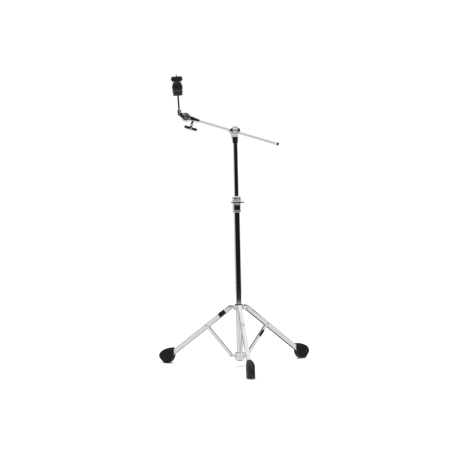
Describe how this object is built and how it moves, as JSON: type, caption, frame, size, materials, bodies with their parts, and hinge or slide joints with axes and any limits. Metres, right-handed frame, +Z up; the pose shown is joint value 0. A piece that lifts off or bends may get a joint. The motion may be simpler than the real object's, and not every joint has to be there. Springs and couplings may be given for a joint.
{
  "type": "cymbal boom stand",
  "caption": "Folding tripod stand with a telescoping column and a sliding, tilting boom that carries a cymbal rod with felts and a quick-release nut.",
  "frame": {"origin": "middle of the footprint's box, on the floor", "axes": "+Z up along the column, -Y towards the front leg, -X towards the cymbal end of the boom"},
  "size_m": [0.6524, 0.5654, 1.2017],
  "materials": {
    "chrome_tube": "mirror-bright chrome plate on steel tube and pressed channel",
    "chrome_casting": "bright chrome plate on castings and fasteners",
    "rubber": "matte moulded rubber",
    "nylon": "smooth black nylon",
    "black_plastic": "satin moulded plastic",
    "grey_felt": "pressed wool felt, dark grey",
    "black_felt": "pressed wool felt, black"
  },
  "bodies": {
    "base": {"base_tube": "chrome_tube", "base_end_cap": "nylon", "lower_leg_collar": "chrome_casting", "collar_screw_1": "chrome_casting", "collar_screw_2": "chrome_casting", "collar_screw_3": "chrome_casting", "lower_rivet_1": "chrome_casting", "lower_rivet_2": "chrome_casting", "lower_rivet_3": "chrome_casting", "height_clamp": "chrome_casting"},
    "leg_collar": {"upper_leg_collar": "chrome_casting", "collar_bushing": "nylon"},
    "leg_wing_bolt": {"leg_wing_bolt": "chrome_casting"},
    "brace_1": {"brace_1": "chrome_tube"},
    "leg_1": {"leg_1": "chrome_tube", "foot_1": "rubber", "brace_rivet_1": "chrome_casting"},
    "brace_2": {"brace_2": "chrome_tube"},
    "leg_2": {"leg_2": "chrome_tube", "foot_2": "rubber", "brace_rivet_2": "chrome_casting"},
    "brace_3": {"brace_3": "chrome_tube"},
    "leg_3": {"leg_3": "chrome_tube", "foot_3": "rubber", "brace_rivet_3": "chrome_casting"},
    "height_wing_bolt": {"height_wing_bolt": "chrome_casting"},
    "clamp_bushing": {"clamp_bushing": "nylon"},
    "upper_tube": {"upper_tube": "chrome_tube", "tube_top_sleeve": "nylon", "tilter_base": "chrome_casting"},
    "memory_lock": {"memory_lock": "chrome_casting", "memory_lock_bolt": "chrome_casting"},
    "boom_clamp": {"boom_eye_bolt": "chrome_casting", "boom_saddle": "chrome_casting", "boom_clamp_cap": "chrome_casting"},
    "boom_wing_nut": {"boom_wing_nut": "chrome_casting"},
    "boom_liner": {"boom_liner": "nylon"},
    "boom": {"boom_rod": "chrome_tube", "boom_end_plug": "nylon", "tilter_body": "chrome_casting"},
    "tilter_wing_bolt": {"tilter_wing_bolt": "chrome_casting"},
    "cymbal_arm": {"tilter_arm": "chrome_casting", "rod_set_screw": "chrome_casting", "tilter_pivot_bolt": "chrome_casting", "tilter_lock_nut": "chrome_casting", "cymbal_rod": "chrome_tube", "cymbal_seat": "black_plastic", "rod_sleeve": "nylon", "lower_felt": "grey_felt", "middle_felt": "black_felt", "upper_felt": "grey_felt"},
    "quick_nut": {"quick_nut": "black_plastic"},
    "nut_button_right": {"nut_button_right": "black_plastic"},
    "nut_button_left": {"nut_button_left": "black_plastic"}
  },
  "joints": [
    {"name": "fold", "type": "slide", "parent": "base", "child": "leg_collar", "axis": [0, 0, 1], "range_m": [0, 0.09611]},
    {"name": "brace_1_fold", "type": "hinge", "parent": "base", "child": "brace_1", "pos_m": [0, 0.04903, 0.041], "axis": [-1, 0, 0], "range_deg": [0, 40.67]},
    {"name": "leg_1_fold", "type": "hinge", "parent": "brace_1", "child": "leg_1", "pos_m": [0, -0.05894, 0.16096], "axis": [1, 0, 0], "range_deg": [0, 92.87]},
    {"name": "brace_2_fold", "type": "hinge", "parent": "base", "child": "brace_2", "pos_m": [0.03204, 0.10453, 0.041], "axis": [0.5, -0.866, 0], "range_deg": [0, 40.67]},
    {"name": "leg_2_fold", "type": "hinge", "parent": "brace_2", "child": "leg_2", "pos_m": [0.12555, 0.15851, 0.16096], "axis": [-0.5, 0.866, 0], "range_deg": [0, 92.87]},
    {"name": "brace_3_fold", "type": "hinge", "parent": "base", "child": "brace_3", "pos_m": [-0.03204, 0.10453, 0.041], "axis": [0.5, 0.866, 0], "range_deg": [0, 40.67]},
    {"name": "leg_3_fold", "type": "hinge", "parent": "brace_3", "child": "leg_3", "pos_m": [-0.12555, 0.15851, 0.16096], "axis": [-0.5, -0.866, 0], "range_deg": [0, 92.87]},
    {"name": "leg_wing_bolt_turn", "type": "hinge", "parent": "leg_collar", "child": "leg_wing_bolt", "pos_m": [0.03464, 0.06603, 0.23898], "axis": [0.866, -0.5, 0], "continuous": true},
    {"name": "height_wing_bolt_turn", "type": "hinge", "parent": "base", "child": "height_wing_bolt", "pos_m": [0, 0.05603, 0.6695], "axis": [0, -1, 0], "continuous": true},
    {"name": "column_swivel", "type": "hinge", "parent": "base", "child": "clamp_bushing", "pos_m": [0, 0.08603, 0.66], "axis": [0, 0, 1], "continuous": true},
    {"name": "height", "type": "slide", "parent": "clamp_bushing", "child": "upper_tube", "axis": [0, 0, 1], "range_m": [0, 0.28]},
    {"name": "memory_lock_slide", "type": "slide", "parent": "upper_tube", "child": "memory_lock", "axis": [0, 0, 1], "range_m": [0, 0.2]},
    {"name": "boom_tilt", "type": "hinge", "parent": "upper_tube", "child": "boom_clamp", "pos_m": [0, 0.10803, 0.9648], "axis": [0, 1, 0], "range_deg": [-70, 70]},
    {"name": "boom_wing_nut_turn", "type": "hinge", "parent": "boom_clamp", "child": "boom_wing_nut", "pos_m": [0, 0.10803, 0.9648], "axis": [0, 1, 0], "continuous": true},
    {"name": "boom_roll", "type": "hinge", "parent": "boom_clamp", "child": "boom_liner", "pos_m": [0, 0.10803, 0.9648], "axis": [-0.9568, 0, 0.2907], "continuous": true},
    {"name": "boom_slide", "type": "slide", "parent": "boom_liner", "child": "boom", "axis": [-0.9568, 0, 0.2907], "range_m": [-0.12, 0.14]},
    {"name": "tilter_wing_bolt_turn", "type": "hinge", "parent": "boom", "child": "tilter_wing_bolt", "pos_m": [-0.18003, 0.10803, 0.97769], "axis": [0.2907, 0, 0.9568], "continuous": true},
    {"name": "cymbal_tilt", "type": "hinge", "parent": "boom", "child": "cymbal_arm", "pos_m": [-0.19902, 0.10803, 1.02527], "axis": [0, 1, 0], "range_deg": [-60, 75]},
    {"name": "quick_nut_lift", "type": "slide", "parent": "cymbal_arm", "child": "quick_nut", "axis": [-0.0523, 0, 0.9986], "range_m": [0, 0.045]},
    {"name": "nut_button_right_press", "type": "slide", "parent": "quick_nut", "child": "nut_button_right", "axis": [-0.9986, 0, -0.0523], "range_m": [0, 0.0023], "stiffness_N_per_m": 800},
    {"name": "nut_button_left_press", "type": "slide", "parent": "quick_nut", "child": "nut_button_left", "axis": [0.9986, 0, 0.0523], "range_m": [0, 0.0023], "stiffness_N_per_m": 800}
  ],
  "couplings": [
    {"joint": "brace_1_fold", "follows": "fold", "rad_per_m": 7.3838},
    {"joint": "leg_1_fold", "follows": "fold", "rad_per_m": 16.863},
    {"joint": "brace_2_fold", "follows": "fold", "rad_per_m": 7.3838},
    {"joint": "leg_2_fold", "follows": "fold", "rad_per_m": 16.863},
    {"joint": "brace_3_fold", "follows": "fold", "rad_per_m": 7.3838},
    {"joint": "leg_3_fold", "follows": "fold", "rad_per_m": 16.863}
  ]
}
